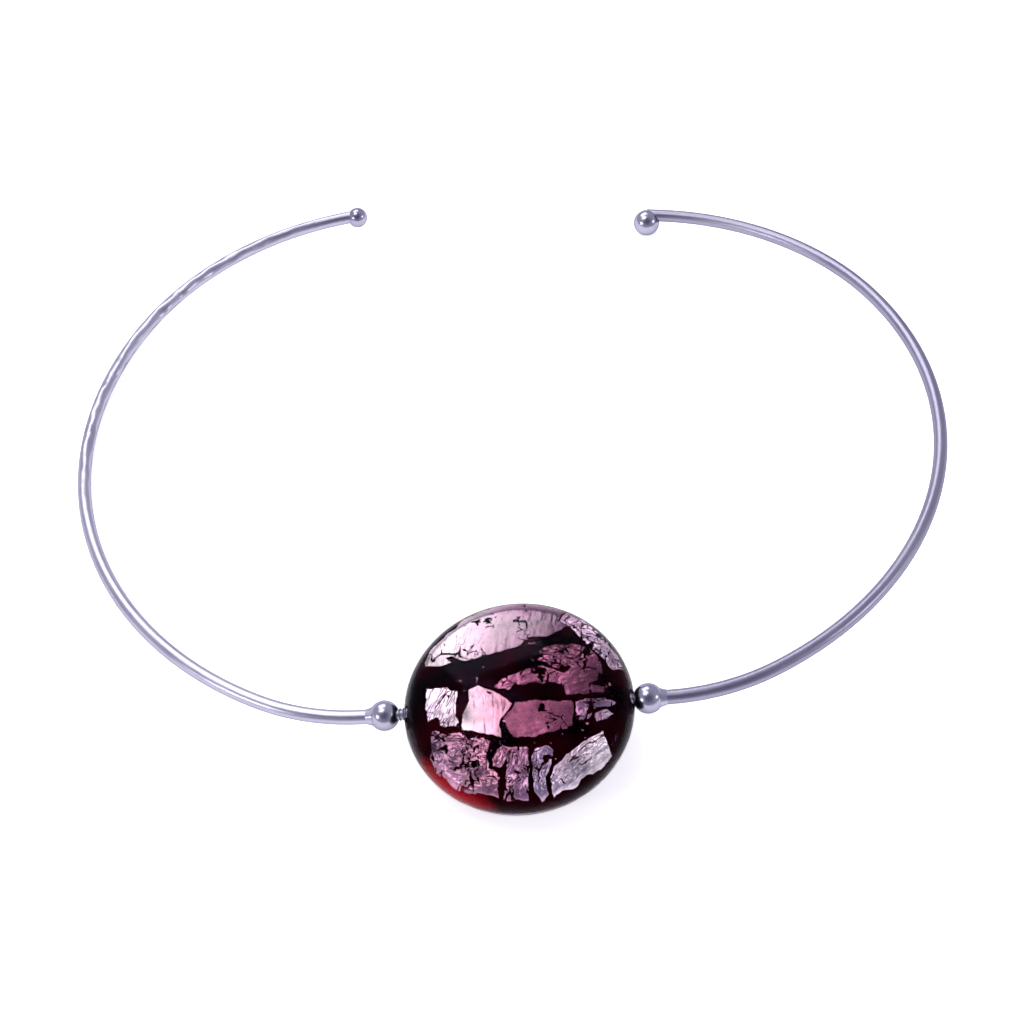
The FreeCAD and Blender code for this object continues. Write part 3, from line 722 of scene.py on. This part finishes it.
def build_floor():
    """A white table, which also glows a little so that it stays white round the object."""
    reach = FLOOR_REACH
    corners = [(-reach, -reach, 0), (reach, -reach, 0), (reach, reach, 0), (-reach, reach, 0)]
    floor = new_mesh_object("floor", corners, [(0, 1, 2, 3)])
    material, _, shader, _ = new_material("pale_floor")
    shader.inputs["Base Color"].default_value = (0.92, 0.92, 0.93, 1)
    shader.inputs["Roughness"].default_value = 0.9
    shader.inputs["Specular IOR Level"].default_value = 0.1
    shader.inputs["Emission Color"].default_value = (1, 1, 1, 1)
    shader.inputs["Emission Strength"].default_value = 0.60
    give(floor, material)


def build_world():
    """Soft surroundings: bright low down, dim on the side that the bead faces."""
    world = bpy.data.worlds.new("studio")
    world.use_nodes = True
    tree = world.node_tree
    bright = (0.62, 0.61, 0.74, 1)
    between = (0.46, 0.44, 0.57, 1)
    dim = (0.18, 0.17, 0.27, 1)
    direction = tree.nodes.new("ShaderNodeTexCoord").outputs["Generated"]
    reach = add_reach(tree, direction, DIM_SIDE)
    sky = add_ramp(tree, reach, (0.35, bright), (0.78, between), (0.97, dim))
    tree.links.new(sky, tree.nodes["Background"].inputs["Color"])
    bpy.context.scene.world = world
    bpy.context.scene.view_settings.view_transform = "Standard"


# ---------------------------------------------------------------------------------------
# Put it together
# ---------------------------------------------------------------------------------------

def finish_metal():
    """Give each metal piece its material."""
    wire = plated_metal("polished_wire", (0.32, 0.31, 0.385),
                        roughness=0.32, grain=0.25, marks=0.4)
    # The left arm's wire has the plier marks, and its lighter colour is a painted highlight for
    # the glints of the lights along the left arc.
    tooled_and_highlit = plated_metal("tooled_wire_painted_highlight", (0.46, 0.45, 0.53),
                          roughness=0.30, grain=0.25, marks=0.4, worked=True)
    ball = plated_metal("polished_ball", (0.40, 0.39, 0.47),
                        roughness=0.20, grain=0.15, marks=0.5)
    solder = plated_metal("solder", (0.44, 0.43, 0.52),
                          roughness=0.28, grain=0.4, marks=0.9)
    stud = plated_metal("stud_steel", (0.66, 0.66, 0.70),
                        roughness=0.25, grain=0.3, marks=0.1)
    looks = {
        "left_arm": tooled_and_highlit, "right_arm": wire,
        "left_collar_ball": ball, "right_collar_ball": ball,
        "left_tip_ball": ball, "right_tip_ball": ball,
        "left_collar_solder": solder, "right_collar_solder": solder,
        "threaded_stud": stud,
    }
    for node, material in looks.items():
        give(frame["nodes"][node], material)


def build_bead():
    """The glass and foils in place of their plain solids, and the core in its material."""
    glass = build_glass()
    give(glass, amethyst_glass())
    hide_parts("glass_casing")
    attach(glass, "bead")
    give(frame["nodes"]["glass_core"], dark_glass())
    leaf = silver_foil()
    for name, node, facing, seed in (("foil_front", "silver_foil_front", 1, 3),
                                     ("foil_back", "silver_foil_back", -1, 11)):
        foil = build_foil(name, facing, seed)
        give(foil, leaf)
        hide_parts(node)
        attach(foil, "bead")


def build_studio():
    """Surroundings, floor, lights and camera. The two large lights are what the foil mirrors."""
    build_world()
    build_floor()
    build_light("window", place=(-0.13, 0.33, 0.33), aim=(-0.002, -0.023, 0),
                width=0.34, height=0.24, power=0.75)
    build_light("overhead", place=(-0.18, 0.07, 0.46), aim=(-0.003, -0.025, 0),
                width=0.26, height=0.26, power=0.65)
    build_light("left_softbox", place=(-0.40, -0.25, 0.20), aim=(-0.03, 0, 0),
                width=0.10, height=0.05, power=0.5)
    build_light("right_softbox", place=(0.46, -0.10, 0.22), aim=(0.03, 0, 0),
                width=0.12, height=0.08, power=0.25)
    build_camera()


finish_metal()
build_bead()
build_studio()
